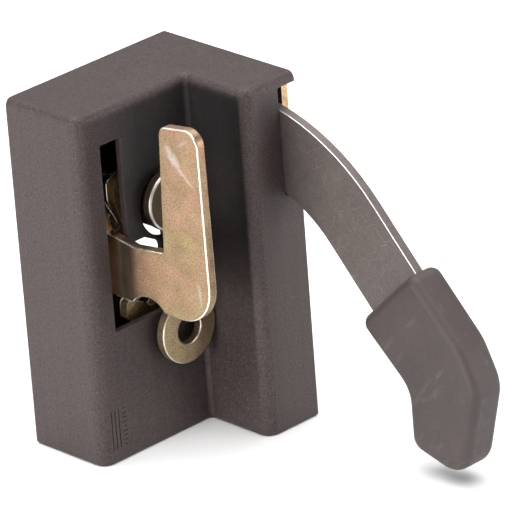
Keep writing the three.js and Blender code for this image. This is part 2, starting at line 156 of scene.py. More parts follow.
def flared(low, high, faces, radius, steps=4):
    """Rings (level, grow) of a cutter that rounds the edge it leaves in each of the faces it passes."""
    turns = [math.pi / 2 * k / steps for k in range(steps + 1)]
    rings = []
    for level in sorted(faces):
        outwards = 1 if abs(level - high) < abs(level - low) else -1
        lip = [(level - outwards * radius * (1 - math.sin(a)), radius * (1 - math.cos(a))) for a in turns]
        rings += lip if outwards > 0 else lip[::-1]
    before = (low, rings[0][1])
    after = (high, rings[-1][1])
    return [before, *rings, after]


def place(axis, u, v, level):
    """A point drawn at (u, v) on the plane across an axis, at that level along it."""
    return {"x": (level, u, v), "y": (u, level, v), "z": (u, v, level)}[axis]


def linked(name, data):
    """A new object in the scene."""
    made = bpy.data.objects.new(name, data)
    bpy.context.scene.collection.objects.link(made)
    return made


def poured(shape, mesh):
    """The mesh, filled from a bmesh that is then freed."""
    shape.to_mesh(mesh)
    shape.free()
    return mesh


def closed(name, shape):
    """An object from the bmesh of a closed skin, with its seams welded and its faces turned outwards."""
    bmesh.ops.remove_doubles(shape, verts=shape.verts, dist=1e-4)
    bmesh.ops.recalc_face_normals(shape, faces=shape.faces)
    return linked(name, poured(shape, bpy.data.meshes.new(name)))


def plate(axis, corners, rings):
    """A solid across one axis, whose outline is grown or shrunk from ring to ring."""
    shape = bmesh.new()
    levels = [
        [shape.verts.new(place(axis, *point, level)) for point in rounded(corners, grow)]
        for level, grow in rings
    ]
    for below, above in zip(levels, levels[1:]):
        for i in range(len(below)):
            shape.faces.new((below[i - 1], below[i], above[i], above[i - 1]))
    shape.faces.new(levels[0])
    shape.faces.new(levels[-1])
    return closed("plate", shape)


def prism(axis, corners, low, high):
    """A solid with the same outline from one level to another."""
    return plate(axis, corners, [(low, 0.0), (high, 0.0)])


def opening(axis, corners, faces, rim):
    """Cutter right through a sheet, which rounds the edge it leaves in each of the sheet's two faces."""
    low, high = min(faces), max(faces)
    return plate(axis, corners, flared(low - 1, high + 1, faces, rim))


def turned(axis, centre, section, sides=64):
    """A turned solid: a closed section of (radius, level, rounding) corners, spun about an axis."""
    shape = bmesh.new()
    points = rounded(section)
    spokes = []
    for k in range(sides):
        angle = 2 * math.pi * k / sides
        c, s = math.cos(angle), math.sin(angle)
        spoke = [place(axis, centre[0] + r * c, centre[1] + r * s, level) for r, level in points]
        spokes.append([shape.verts.new(point) for point in spoke])
    for k in range(sides):
        for i in range(len(points)):
            if points[i - 1][0] > 1e-6 or points[i][0] > 1e-6:
                corners = (spokes[k - 1][i - 1], spokes[k - 1][i], spokes[k][i], spokes[k][i - 1])
                shape.faces.new(corners)
    return closed("turned", shape)


def rod(axis, centre, radius, low, high, rim=0.0):
    """A round bar, with rounded rims if a radius is given for them."""
    return turned(axis, centre, [(0, low), (radius, low, rim), (radius, high, rim), (0, high)])


def tube(axis, centre, inner, outer, low, high, rim):
    """A round sleeve with rounded rims."""
    corners = [(inner, low, rim), (outer, low, rim), (outer, high, rim), (inner, high, rim)]
    return turned(axis, centre, corners)


def as_mesh(thing):
    """A new mesh of an object with its modifiers applied."""
    seen = thing.evaluated_get(bpy.context.evaluated_depsgraph_get())
    return bpy.data.meshes.new_from_object(seen)


def joined(operation, base, others):
    """The base with the others cut from it, added to it or kept in common, still one closed mesh."""
    for other in others:
        modifier = base.modifiers.new("solid", "BOOLEAN")
        modifier.solver = "MANIFOLD"
        modifier.operation = operation
        modifier.object = other
        mesh = as_mesh(base)
        base.modifiers.clear()
        base.data = mesh
        bpy.data.objects.remove(other)
    return base


def cut(base, *others):
    return joined("DIFFERENCE", base, others)


def add(base, *others):
    return joined("UNION", base, others)


def common(base, *others):
    return joined("INTERSECT", base, others)


def shaded(thing, smooth_below):
    """Smooth shading between faces that meet at less than this many degrees, flat faces kept flat."""
    thing.data.polygons.foreach_set("use_smooth", [True] * len(thing.data.polygons))
    thing.data.set_sharp_from_angle(angle=math.radians(smooth_below))
    weighted = thing.modifiers.new("flat faces", "WEIGHTED_NORMAL")
    weighted.keep_sharp = True
    weighted.weight = 80


def dressed(thing, node, material, smooth_below=32):
    """Moves a solid from housing millimetres into the frame, in the place of a CAD node."""
    thing.name = f"{node}_shape"
    thing.data.name = thing.name
    thing.data.transform(Matrix.Translation(CORNER) @ Matrix.Scale(MM, 4))
    shaded(thing, smooth_below)
    thing.data.materials.clear()
    thing.data.materials.append(material)
    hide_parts(node)


def placed(thing, node, body, material):
    """Turns a solid in housing millimetres into a finished piece that rides on a body."""
    dressed(thing, node, material)
    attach(thing, body)


# ------------------------------------------------------------------ material building


class Graph:
    """A material's node tree, built by calls that each return an output socket."""

    def __init__(self, name):
        self.material = bpy.data.materials.new(name)
        self.material.use_nodes = True
        self.tree = self.material.node_tree
        self.tree.nodes.clear()
        self.position = self.add("TexCoord", "Object")

    def feed(self, socket, value):
        """Links a value to a socket if it is an output, or else sets it on the socket."""
        if isinstance(value, bpy.types.NodeSocket):
            self.tree.links.new(value, socket)
        else:
            socket.default_value = value

    def add(self, kind, output, inputs=None, **settings):
        """One output of a new node, given the node's inputs by name or by index."""
        node = self.tree.nodes.new("ShaderNode" + kind)
        for name, value in settings.items():
            setattr(node, name, value)
        for name, value in (inputs or {}).items():
            self.feed(node.inputs[name], value)
        return node.outputs[output]

    def stretched(self, scale, turn=(0, 0, 0)):
        """The position, turned by degrees and then scaled, for textures that run one way."""
        angles = [math.radians(a) for a in turn]
        spun = self.add("Mapping", 0, {"Vector": self.position, "Rotation": angles})
        return self.add("Mapping", 0, {"Vector": spun, "Scale": scale})

    def noise(self, scale, detail=4.0, roughness=0.55, vector=None, distortion=0.0):
        inputs = {"Vector": vector or self.position, "Scale": scale, "Detail": detail}
        return self.add("TexNoise", "Fac", {**inputs, "Roughness": roughness, "Distortion": distortion})

    def specks(self, scale, size):
        """1 in small round specks, one per cell, and 0 elsewhere."""
        distance = self.add("TexVoronoi", "Distance", {"Vector": self.position, "Scale": scale})
        return self.range(distance, size, 0.5 * size, 0.0, 1.0)

    def range(self, value, low, high, to_low=0.0, to_high=1.0):
        """A value's run from low to high, stretched to another run and held at its ends."""
        inputs = {"Value": value, "From Min": low, "From Max": high, "To Min": to_low, "To Max": to_high}
        return self.add("MapRange", 0, inputs)

    def math(self, operation, a, b):
        return self.add("Math", 0, {0: a, 1: b}, operation=operation)

    def times(self, *factors):
        """The product of several values."""
        product = factors[0]
        for factor in factors[1:]:
            product = self.math("MULTIPLY", product, factor)
        return product

    def magnitude(self, value):
        return self.math("ABSOLUTE", value, 0.0)

    def mix(self, amount, a, b):
        """Colour a where amount is 0 and colour b where it is 1."""
        factor, first, second, result = 0, 6, 7, 2  # a Mix node's sockets for colours
        a, b = ((*colour, 1.0) if isinstance(colour, tuple) else colour for colour in (a, b))
        return self.add("Mix", result, {factor: amount, first: a, second: b}, data_type="RGBA")

    def part(self, axis, vector):
        """The x, y or z of a vector."""
        return self.add("SeparateXYZ", "XYZ".index(axis), {"Vector": vector})

    def along(self, axis, start=0.0):
        """The x, y or z of the position in metres, from a place given in housing millimetres."""
        origin = CORNER["XYZ".index(axis)] + start * MM
        return self.math("SUBTRACT", self.part(axis, self.position), origin)

    def between(self, axis, stops):
        """0 to 1 and back to 0 along an axis, ramping between four stops in housing millimetres."""
        first, full, fading, last = (stop * MM for stop in stops)
        at = self.along(axis)
        return self.times(self.range(at, first, full), self.range(at, last, fading))

    def patch(self, x, y, z):
        """1 in a box whose sides are each given by four stops, falling to 0 round about."""
        return self.times(self.between("X", x), self.between("Y", y), self.between("Z", z))

    def arris(self, axis, skyward=False):
        """1 where a plate across this axis turns from its flat face to its side, 0 on both."""
        normal = self.add("TexCoord", "Normal")
        lean = self.magnitude(self.part(axis, normal))
        rim = self.times(self.range(lean, 0.30, 0.55), self.range(lean, 0.97, 0.88))
        if skyward:
            rim = self.times(rim, self.range(self.part("Z", normal), 0.0, 0.3))
        return rim

    def stroke(self, start, end, width):
        """A soft stroke between two (X, Z) points in housing millimetres, broken up by fine noise."""
        way = Vector(end) - Vector(start)
        length = way.length * MM
        ux, uz = way.normalized()
        dx = self.along("X", start[0])
        dz = self.along("Z", start[1])
        run = self.math("ADD", self.times(dx, ux), self.times(dz, uz))
        off = self.math("SUBTRACT", self.times(dx, uz), self.times(dz, ux))
        half = 0.5 * width * MM
        wander = self.range(self.noise(160, detail=3), 0.3, 0.7, -half, half)
        side = self.magnitude(self.math("ADD", off, wander))
        body = self.range(side, 2 * half, 0.3 * half)
        first_end = self.range(run, 0.0, 2 * MM)
        last_end = self.range(run, length, length - 4 * MM)
        broken = self.range(self.noise(900), 0.3, 0.6, 0.5, 1.0)
        return self.times(body, first_end, last_end, broken)

    def edges(self, radius):
        """1 on the arrises of the shape, falling to 0 away from them."""
        soft = self.add("Bevel", "Normal", {"Radius": radius}, samples=6)
        sharp = self.add("NewGeometry", "Normal")
        likeness = self.add("VectorMath", "Value", {0: soft, 1: sharp}, operation="DOT_PRODUCT")
        return self.range(likeness, 0.99, 0.86)

    def bumps(self, layers):
        """A normal from (height, depth in metres) layers laid one on another."""
        normal = None
        for height, depth in layers:
            inputs = {"Height": height, "Distance": depth, "Strength": 1.0}
            if normal is not None:
                inputs["Normal"] = normal
            normal = self.add("Bump", "Normal", inputs)
        return normal

    def finish(self, inputs):
        """The material, whose surface has these inputs."""
        surface = self.add("BsdfPrincipled", "BSDF", inputs)
        output = self.tree.nodes.new("ShaderNodeOutputMaterial")
        self.feed(output.inputs["Surface"], surface)
        return self.material


# ------------------------------------------------------------------ materials


def cover_wear_and_highlight(g):
    """1 on the polished arrises of the cover, lightened partly as wear and partly as a painted highlight, 0
    elsewhere and in the hollow corner between its wings.
    """
    from_long_wing = g.magnitude(g.along("X", LONG_WING_THICK))
    from_short_wing = g.magnitude(g.along("Y", -SHORT_WING_THICK))
    outside = g.range(g.math("MAXIMUM", from_long_wing, from_short_wing), 0.0015, 0.003)
    return g.times(g.edges(0.0012), outside)


def cover_painted_shade(g):
    """Painted shade: 1 on the cover's walls behind the finger, where its shadow falls, less beside the lever,
    falling to 0 round about.
    """
    behind_finger = g.patch((29.9, 30.4, 52.5, 55), (-66, -42, -20.95, -20.6), (12, 70, 111, 114))
    beside_lever = g.patch((55.6, 55.95, 60, 61), (-16.5, -12.5, 1, 2), (66, 84, 108, 112))
    patchy = g.range(g.noise(60, detail=3), 0.3, 0.7, 0.85, 1.1)
    return g.times(g.math("MAXIMUM", behind_finger, g.times(beside_lever, 0.4)), patchy)


def black_plastic():
    """Moulded plastic: a grain, faint streaks of flow, pale specks, polished arrises with a painted
    highlight, and painted shade behind the finger.
    """
    g = Graph("black_plastic")
    cloud = g.noise(45, detail=3)
    streak = g.noise(1.0, detail=3, vector=g.stretched((420, 420, 9)))
    grain = g.noise(1500, detail=4, roughness=0.8)
    tone = g.math("ADD", g.range(cloud, 0.3, 0.7, 0.0, 0.55), g.range(streak, 0.35, 0.65, 0.0, 0.45))
    colour = g.mix(tone, (0.040, 0.027, 0.026), (0.054, 0.038, 0.036))
    colour = g.mix(g.range(grain, 0.50, 0.68, 0.0, 0.55), colour, (0.115, 0.080, 0.076))
    colour = g.mix(g.range(grain, 0.50, 0.34, 0.0, 0.70), colour, (0.012, 0.010, 0.010))
    dust = g.times(g.specks(210, 0.075), g.range(g.noise(95), 0.55, 0.62))
    colour = g.mix(g.times(dust, 0.5), colour, (0.20, 0.18, 0.17))
    # Lighter arrises: partly wear, partly a painted highlight.
    colour = g.mix(g.times(cover_wear_and_highlight(g), 0.30), colour, (0.12, 0.105, 0.10))
    # Painted shade: grease holds the finger's shadow on the walls behind it and the shade beside the lever;
    # it darkens the colour and dims the gloss.
    grease = cover_painted_shade(g)
    colour = g.mix(g.times(grease, 0.80), colour, (0.005, 0.006, 0.007))
    gloss = g.range(grease, 0.0, 1.0, 0.35, 0.17)
    rough = g.range(g.math("ADD", g.times(cloud, 0.5), g.times(grain, 0.5)), 0.3, 0.7, 0.42, 0.60)
    normal = g.bumps([(grain, 0.00011), (streak, 0.00004), (g.noise(700), 0.00003)])
    return g.finish({"Base Color": colour, "Roughness": rough, "Normal": normal, "Specular IOR Level": gloss})


def yellow_zinc(name, dark, light, axis=None, strokes=(), painted_shade_span=None, painted_shade_patch=None, arris_shine=1.0):
    """Yellow passivated zinc: sandy gold with pink and green casts, rub marks, and arrises made pale by wear
    and a painted highlight.

    axis is the one that a flat plate lies across, or None for a piece that lies several ways. The (X, X) span
    after the strokes, in housing millimetres, is a dark band of painted shadow and reflection where the piece
    passes the cover's opening, with a warm painted reflection past its low end, inside the cover. The (x, y,
    z) patch is darkened as painted shade.
    """
    g = Graph(name)
    cast = g.noise(58, detail=2, distortion=0.8)
    patch = g.noise(150, detail=5)
    sand = g.noise(1900, detail=3, roughness=0.7)
    colour = g.mix(g.range(patch, 0.3, 0.7), dark, light)
    colour = g.mix(g.range(cast, 0.54, 0.68, 0.0, 0.50), colour, (0.50, 0.255, 0.19))
    colour = g.mix(g.range(cast, 0.46, 0.32, 0.0, 0.45), colour, (0.36, 0.31, 0.13))
    stain = g.range(g.noise(260, detail=6, roughness=0.7), 0.54, 0.72)
    colour = g.mix(g.times(stain, 0.40), colour, (0.17, 0.12, 0.08))
    colour = g.mix(g.range(sand, 0.46, 0.64, 0.0, 0.68), colour, (0.12, 0.085, 0.055))
    for start, end, width, strength in strokes:
        colour = g.mix(g.times(g.stroke(start, end, width), strength), colour, (0.60, 0.57, 0.54))
    if painted_shade_span:
        low, high = painted_shade_span
        # Painted shadow and reflection: a dark band where the piece passes the cover's opening.
        band = g.between("X", (low - 2, low, high, high + 3))
        colour = g.mix(g.times(band, 0.78), colour, (0.055, 0.042, 0.032))
        # Painted reflection: a warm tint on the part that lies inside the cover.
        inside = g.range(g.along("X", low), -1 * MM, -4 * MM)
        colour = g.mix(g.times(inside, 0.6), colour, (0.34, 0.16, 0.06))
    if painted_shade_patch:
        # Painted shade over the given patch.
        colour = g.mix(g.times(g.patch(*painted_shade_patch), 0.9), colour, (0.045, 0.032, 0.024))
    # Pale arrises: partly worn bare, partly a painted highlight.
    arris = g.times(g.arris(axis) if axis else g.edges(0.0004), arris_shine)
    worn_and_highlight = g.times(arris, g.range(g.noise(420), 0.25, 0.5, 0.75, 1.0))
    colour = g.mix(worn_and_highlight, colour, (0.97, 0.94, 0.88))
    rough = g.math("SUBTRACT", g.range(patch, 0.3, 0.7, 0.34, 0.50), g.times(arris, 0.16))
    normal = g.bumps([(sand, 0.00005), (g.noise(500), 0.00005), (patch, 0.00010)])
    return g.finish({"Base Color": colour, "Metallic": 0.92, "Roughness": rough, "Normal": normal})


def dark_steel():
    """Blackened steel band: an even brown-grey with fine hair scratches and an upper arris made bright partly
    by wear and partly as a painted highlight.
    """
    g = Graph("dark_steel")
    mottle = g.noise(1300, detail=5, roughness=0.75)
    cloud = g.noise(50, detail=4)
    colour = g.mix(g.range(mottle, 0.3, 0.7), (0.092, 0.074, 0.069), (0.155, 0.130, 0.122))
    colour = g.mix(g.range(cloud, 0.45, 0.75, 0.0, 0.5), colour, (0.200, 0.172, 0.156))
    for turn in (28, -39, 73):
        hair = g.noise(1.0, detail=2, vector=g.stretched((90, 2400, 2400), turn=(0, turn, 0)))
        colour = g.mix(g.range(hair, 0.66, 0.74, 0.0, 0.35), colour, (0.30, 0.28, 0.26))
    # The upper arris only, where light from above falls: partly worn bare, partly a painted highlight.
    arris = g.arris("Y", skyward=True)
    colour = g.mix(arris, colour, (1.0, 0.98, 0.95))
    rough = g.math("SUBTRACT", g.range(mottle, 0.3, 0.7, 0.44, 0.58), g.times(arris, 0.2))
    metal = g.math("ADD", 0.35, g.times(arris, 0.6))
    normal = g.bumps([(mottle, 0.00005), (g.noise(2400), 0.00003)])
    return g.finish({"Base Color": colour, "Metallic": metal, "Roughness": rough, "Normal": normal})


def turned_steel(name, clean, stained):
    """Turned, stamped or drawn steel with a thin plating, lightly stained."""
    g = Graph(name)
    stain = g.noise(300, detail=5)
    rings = g.noise(1.0, detail=2, vector=g.stretched((90, 3200, 90)))
    colour = g.mix(g.range(stain, 0.35, 0.7), clean, stained)
    colour = g.mix(g.times(g.edges(0.0003), 0.4), colour, (0.90, 0.89, 0.87))
    rough = g.range(stain, 0.3, 0.7, 0.22, 0.42)
    normal = g.bumps([(rings, 0.00002), (g.noise(1500), 0.00002)])
    return g.finish({"Base Color": colour, "Metallic": 1.0, "Roughness": rough, "Normal": normal})


def soft_vinyl():
    """Dipped vinyl: matte, with a faint pebble and a few scuffs."""
    g = Graph("soft_vinyl")
    cloud = g.noise(55, detail=3)
    pebble = g.noise(1500, detail=3)
    scuff = g.noise(1.0, detail=4, vector=g.stretched((70, 260, 260), turn=(0, 48, 0)))
    colour = g.mix(g.range(cloud, 0.3, 0.7), (0.038, 0.026, 0.025), (0.052, 0.037, 0.035))
    colour = g.mix(g.range(scuff, 0.60, 0.74, 0.0, 0.35), colour, (0.13, 0.115, 0.11))
    rough = g.range(pebble, 0.3, 0.7, 0.52, 0.66)
    normal = g.bumps([(pebble, 0.00005), (g.noise(320), 0.00010)])
    inputs = {"Base Color": colour, "Roughness": rough, "Normal": normal}
    return g.finish({**inputs, "Sheen Weight": 0.06, "Sheen Roughness": 0.4})


def nylon():
    """Off-white nylon, darkened a little by grease where it runs."""
    g = Graph("nylon")
    grease = g.noise(240, detail=4)
    colour = g.mix(g.range(grease, 0.45, 0.75), (0.62, 0.60, 0.53), (0.30, 0.26, 0.20))
    rough = g.range(grease, 0.3, 0.7, 0.50, 0.32)
    normal = g.bumps([(g.noise(1300), 0.00004)])
    inputs = {"Base Color": colour, "Roughness": rough, "Normal": normal}
    return g.finish({**inputs, "Subsurface Weight": 0.12, "Subsurface Scale": 0.0008})


def pale_floor():
    g = Graph("pale_floor")
    tone = g.mix(g.range(g.noise(3, detail=2), 0.3, 0.7), (0.86, 0.86, 0.86), (0.89, 0.89, 0.89))
    return g.finish({"Base Color": tone, "Roughness": 0.85, "Specular IOR Level": 0.1})


PLASTIC = black_plastic()
ARM_STROKES = [  # start, end, width and strength
    ((54.2, 109.0), (61.0, 100.0), 1.7, 0.60),
    ((59.0, 102.5), (66.3, 96.8), 0.9, 0.50),
    ((64.0, 67.0), (65.6, 57.0), 1.1, 0.40),
    ((60.0, 109.0), (65.0, 113.0), 0.8, 0.40),
]
# The arm, eye plate and frame are one yellow zinc; their dark and light tones differ piece by piece as
# painted light, darkest on the arm and brightest on the frame and base.
ARM_ZINC = yellow_zinc(
    "arm_zinc",
    dark=(0.295, 0.198, 0.108),
    light=(0.44, 0.302, 0.175),
    axis="Y",
    strokes=ARM_STROKES,
    painted_shade_span=(31.5, 35.0),
)
# Painted shadow of the finger over the eye plate's head.
EYE_HEAD_SHADOW = ((20, 21, 50, 51), (-60, -59, -10, -9), (48, 60, 120, 121))
EYE_ZINC = yellow_zinc(
    "eye_zinc",
    dark=(0.33, 0.24, 0.145),
    light=(0.46, 0.35, 0.225),
    axis="X",
    painted_shade_patch=EYE_HEAD_SHADOW,
    arris_shine=0.5,
)
# Painted shade deep inside the housing, on the base plate's inner faces.
BASE_INSIDE_SHADE = ((2.1, 2.4, 12, 19), (-70, -69, -2.9, -2.3), (-1, 0, 120, 121))
ZINC = yellow_zinc(
    "frame_zinc",
    dark=(0.50, 0.33, 0.15),
    light=(0.74, 0.53, 0.27),
    painted_shade_patch=BASE_INSIDE_SHADE,
    arris_shine=0.6,
)
DARK = dark_steel()
BRIGHT = turned_steel("bright_steel", (0.62, 0.61, 0.59), (0.40, 0.37, 0.33))
SPRING_STEEL = turned_steel("spring_steel", (0.16, 0.14, 0.12), (0.07, 0.055, 0.045))
VINYL = soft_vinyl()
NYLON = nylon()

# ------------------------------------------------------------------ cover


ARM_OPENING = [  # the slot that the arm works in, and the wider window below it
    (-57.3, 42.6, 0.6),
    (-37, 42.6, 0.6),
    (-35.7, 65, 3),
    (-42.4, 68.6, 2),
    (-49.3, 68.6, 0.5),
    (-49.3, 103.6, 0.6),
    (-57.3, 103.6, 0.6),
]
POST_RADIUS = 4
POST_BORE = 1.7


def outer_opening(corners, face, rim):
    """Cutter for an opening in a wall of the cover across X, which rounds the edge in its outer face."""
    return plate("x", corners, flared(face - WALL - 1, face + 1, [face], rim))


def inwards(axis):
    """The sign of the way from the base into the cover, for a piece that lies along an axis."""
    return 1 if axis == "x" else -1


def screw_post(axis, at):
    """A post inside the cover that a screw bites in, and the bore it leaves."""
    wing_thick = LONG_WING_THICK if axis == "x" else SHORT_WING_THICK
    root = wing_thick - WALL + 0.5
    mouth = SHEET + GAP
    way = inwards(axis)
    post = rod(axis, at, POST_RADIUS, way * mouth, way * root, 0.3)
    bore = rod(axis, at, POST_BORE, way * (mouth - 1), way * (mouth + 14))
    return post, bore


def grip_marks():
    """Cutters for the shallow upright grooves and the column of short bars low on the long wing."""
    face = LONG_WING_THICK
    spacing = 1.5
    for i in range(3):
        groove = oblong(either_side(-62.2 + spacing * i, 0.3), (4.6, 17.6), 0.25)
        yield plate("x", groove, [(face - 0.35, -0.1), (face + 0.4, 0.1)])
    for i in range(9):
        bar = oblong((-57.7, -56.1), either_side(5.2 + spacing * i, 0.28), 0.2)
        yield plate("x", bar, [(face - 0.3, -0.1), (face + 0.4, 0.1)])


def cover():
    """The moulding: an L-shaped shell with screw posts, open towards the post and at the back."""
    beyond = 5
    outside = [
        (-beyond, beyond),
        (-beyond, -LONG_WING),
        (LONG_WING_THICK, -LONG_WING, 4),
        (LONG_WING_THICK, -SHORT_WING_THICK, 1.5),
        (SHORT_WING, -SHORT_WING_THICK, 4),
        (SHORT_WING, beyond),
    ]
    footprint = [
        (0, 0, 1),
        (0, -LONG_WING - 1),
        (SHORT_WING + 1, -LONG_WING - 1),
        (SHORT_WING + 1, 0),
    ]
    inside = [
        (-beyond, beyond),
        (-beyond, WALL - LONG_WING),
        (LONG_WING_THICK - WALL, WALL - LONG_WING, 1),
        (LONG_WING_THICK - WALL, WALL - SHORT_WING_THICK, 1),
        (SHORT_WING - WALL, WALL - SHORT_WING_THICK, 1),
        (SHORT_WING - WALL, beyond),
    ]
    block = plate("z", outside, round_ends(0, HEIGHT, 1.2, 3.0, steps=9))
    block = common(block, plate("z", footprint, round_ends(-1, HEIGHT, 0, 0.8)))
    shell = cut(block, prism("z", inside, CAP, HEIGHT - CAP))
    for axis, at in COVER_SCREWS:
        post, bore = screw_post(axis, at)
        shell = cut(add(shell, post), bore)
    notch = [(-7.1, 76.4, 0.5), (1, 76.4), (1, HEIGHT - CAP), (-7.1, HEIGHT - CAP, 0.5)]
    shell = cut(
        shell,
        outer_opening(notch, SHORT_WING, 0.3),
        outer_opening(ARM_OPENING, LONG_WING_THICK, 0.35),
        outer_opening(disc(BOSS_HOLE, 11.3), LONG_WING_THICK, 0.35),
        *grip_marks(),
    )
    placed(shell, "cover", "housing", PLASTIC)


# ------------------------------------------------------------------ base plate and inner frame


def screw_sink(axis, at):
    """Cutter for a countersunk hole in the base."""
    way = inwards(axis)
    inner = (SHEET + 1) * way
    section = [(0, -0.5 * way), (4.4, -0.5 * way), (2.0, 1.9 * way), (2.0, inner), (0, inner)]
    return turned(axis, at, section if way > 0 else section[::-1])


def base_plate():
    """One bent sheet: the back flange, the face on the post and the ear for the spindle's front end."""
    right = SHORT_WING - WALL - 4 * GAP
    ear_front = EAR_BACK - SHEET
    ear_right = 26
    plan = [
        (right, 0),
        (0, 0, 3),
        (0, ear_front, 3),
        (ear_right, ear_front),
        (ear_right, EAR_BACK),
        (SHEET, EAR_BACK, 0.8),
        (SHEET, -SHEET, 0.8),
        (right, -SHEET),
    ]
    low, high = CAP + 0.4, HEIGHT - CAP - 0.4
    web, beyond = SHEET + 1, ear_right + 1
    below_ear = [(web, low - 1), (beyond, low - 1), (beyond, 62, 2), (web, 62, 1.5)]
    above_ear = [(web, 92, 1.5), (beyond, 92, 2), (beyond, high + 1), (web, high + 1)]
    back_flange = (-SHEET, 0)
    post_flange = (0, SHEET)
    ear = (ear_front, EAR_BACK)
    bores = [(SPINDLE, 5.4), (LEVER_AXIS, 4.2), (LEVER_STOP, 2.7), *[(at, RIVET_BORE) for at in FRAME_RIVETS]]
    sheet = cut(
        plate("z", plan, round_ends(low, high, 0.25, steps=3)),
        *[prism("y", side, ear_front - 1, EAR_BACK + 1) for side in (below_ear, above_ear)],
        opening("x", oblong((-24, -5), (38, 60), 3), post_flange, 0.25),
        opening("y", disc(SPINDLE, 5.4), ear, 0.1),
        *[opening("y", disc(at, radius), back_flange, 0.1) for at, radius in bores],
        *[opening("x", disc(at, 3.3), post_flange, 0.25) for at in POST_HOLES],
        *[screw_sink(axis, at) for axis, at in COVER_SCREWS],
    )
    placed(sheet, "base_plate", "housing", ZINC)


def frame_plate():
    """The inner plate: an upright web with the spindle's front ear, and a foot bent along the base."""
    right = FRAME_LEFT + FRAME_SHEET
    back = -SHEET - GAP
    side = [
        (0, 8),
        (0, 64, 3),
        (-12, 68, 3),
        (-12, 92, 4),
        (-36, 92, 6),
        (-48, 86.2, 1.5),
        (-48, 80.6, 1.5),
        (-45, 71.2, 2),
        (-28, 71.2, 4),
        (-27, 50, 4),
        (-36, 41.2, 2),
        (-40.2, 44.6, 1.5),
        (-46.2, 47.2, 1),
        (-46.8, 41.6, 1),
        (-40.8, 37.6, 3),
        (-27, 26, 5),
        (-24, 8),
    ][::-1]
    web = plate("x", side, round_ends(FRAME_LEFT, right, 0.3, steps=3))
    web = common(web, prism("z", oblong((FRAME_LEFT - 1, right + 1), (-60, back)), 7, 93))
    foot_side = [(FRAME_LEFT, 8, 1), (40, 8, 2), (40, 64, 2), (FRAME_LEFT, 64, 1)]
    foot = plate("y", foot_side, round_ends(back - FRAME_SHEET, back, 0.3, steps=3))
    foot = cut(foot, *[rod("y", at, RIVET_BORE, -8, 0) for at in FRAME_RIVETS])
    outside_bend = [
        (FRAME_LEFT - 1, back + 1),
        (FRAME_LEFT - 1, -20),
        (FRAME_LEFT, -20),
        (FRAME_LEFT, back, 3.5),
        (38, back),
        (38, back + 1),
    ]
    bent = cut(
        add(web, foot),
        prism("z", outside_bend, 0, 100),
        rod("x", BOSS, BOSS_BORE, FRAME_LEFT - 1, right + 1),
    )
    placed(bent, "frame_plate", "housing", ZINC)


def frame_rivet(at, name):
    """A rivet with its head on the frame's foot and its end just short of the base's back."""
    foot_face = -SHEET - GAP - FRAME_SHEET
    shank = RIVET_BORE - GAP
    section = [
        (0, foot_face - 2.1),
        (3.4, foot_face - 2.1, 0.6),
        (4.4, foot_face - GAP, 0.15),
        (shank, foot_face - GAP),
        (shank, -0.1, 0.2),
        (0, -0.1),
    ]
    placed(turned("y", at, section, 48), name, "housing", BRIGHT)


def cover_screw(axis, at, name):
    """Countersunk screw with a cross recess and a thread."""
    way = inwards(axis)
    core, crest = 1.38, 1.66
    profile = [(0, 0.1), (3.6, 0.1, 0.15), (1.4, 1.9)]
    for i in range(10):
        level = 2.4 + 0.9 * i
        profile += [(core, level), (crest, level + 0.32), (core, level + 0.64)]
    profile += [(1.2, 11.6), (0, 12)]
    section = [(radius, way * level, *rounding) for radius, level, *rounding in profile]
    screw = turned(axis, at, section if way > 0 else section[::-1], 48)
    recess = [(way * level, grow) for level, grow in ((-0.5, 0.0), (0.1, 0.0), (1.5, -0.25))]
    for half_u, half_v in ((1.9, 0.38), (0.38, 1.9)):
        slot = oblong(either_side(at[0], half_u), either_side(at[1], half_v))
        screw = cut(screw, plate(axis, slot, recess))
    placed(screw, name, "housing", BRIGHT)


# ------------------------------------------------------------------ eye plate on its boss


def stand_off():
    """The spacer between the inner frame and the eye plate."""
    spacer = tube("x", BOSS, BOSS_BORE, 6, FRAME_LEFT + FRAME_SHEET + GAP, EYE_FACES[0] - GAP, 0.2)
    placed(spacer, "stand_off", "housing", EYE_ZINC)


def eye_plate():
    """A round head over the stand-off and an eye, joined by a straight neck, all with softened arrises."""
    back, face = EYE_FACES
    rings = round_ends(back, face, 0.3, 0.5)
    head_rings = round_ends(back, face, 0.3, 1.0, steps=8)
    neck = oblong((-36.5, -26.4), (EYE[1] + 4, EYE_HEAD[1] - 4))
    body = add(
        plate("x", disc(EYE_HEAD, 9.9), head_rings),
        plate("x", neck, rings),
        plate("x", disc(EYE, 11), rings),
    )
    body = cut(
        body,
        opening("x", disc(EYE, 4.7), EYE_FACES, 0.45),
        rod("x", BOSS, BOSS_BORE, back - 1, face + 1),
        plate("x", disc(BOSS, 4), flared(face - 2.2, face + 1, [face], 0.2)),
    )
    placed(body, "eye_plate", "housing", EYE_ZINC)


def boss_rivet():
    """The rivet that holds the eye plate on the inner frame, sunk in the eye plate's head."""
    shank = BOSS_BORE - GAP
    head_back, head_front = EYE_FACES[1] - 1.8, EYE_FACES[1] - 0.1
    section = [
        (0, FRAME_LEFT - 1.9),
        (3.4, FRAME_LEFT - 1.9, 0.5),
        (4.2, FRAME_LEFT - GAP, 0.1),
        (shank, FRAME_LEFT - GAP),
        (shank, head_back),
        (3.5, head_back, 0.1),
        (3.5, head_front, 0.8),
        (0, head_front),
    ]
    placed(turned("x", BOSS, section), "boss_rivet", "housing", EYE_ZINC)


# ------------------------------------------------------------------ arm group


def spindle_square(room, radius=0.0):
    """Corners of the spindle's square, with some room all round."""
    half = SPINDLE_SQUARE / 2 + room
    return oblong(either_side(SPINDLE[0], half), either_side(SPINDLE[1], half), radius)


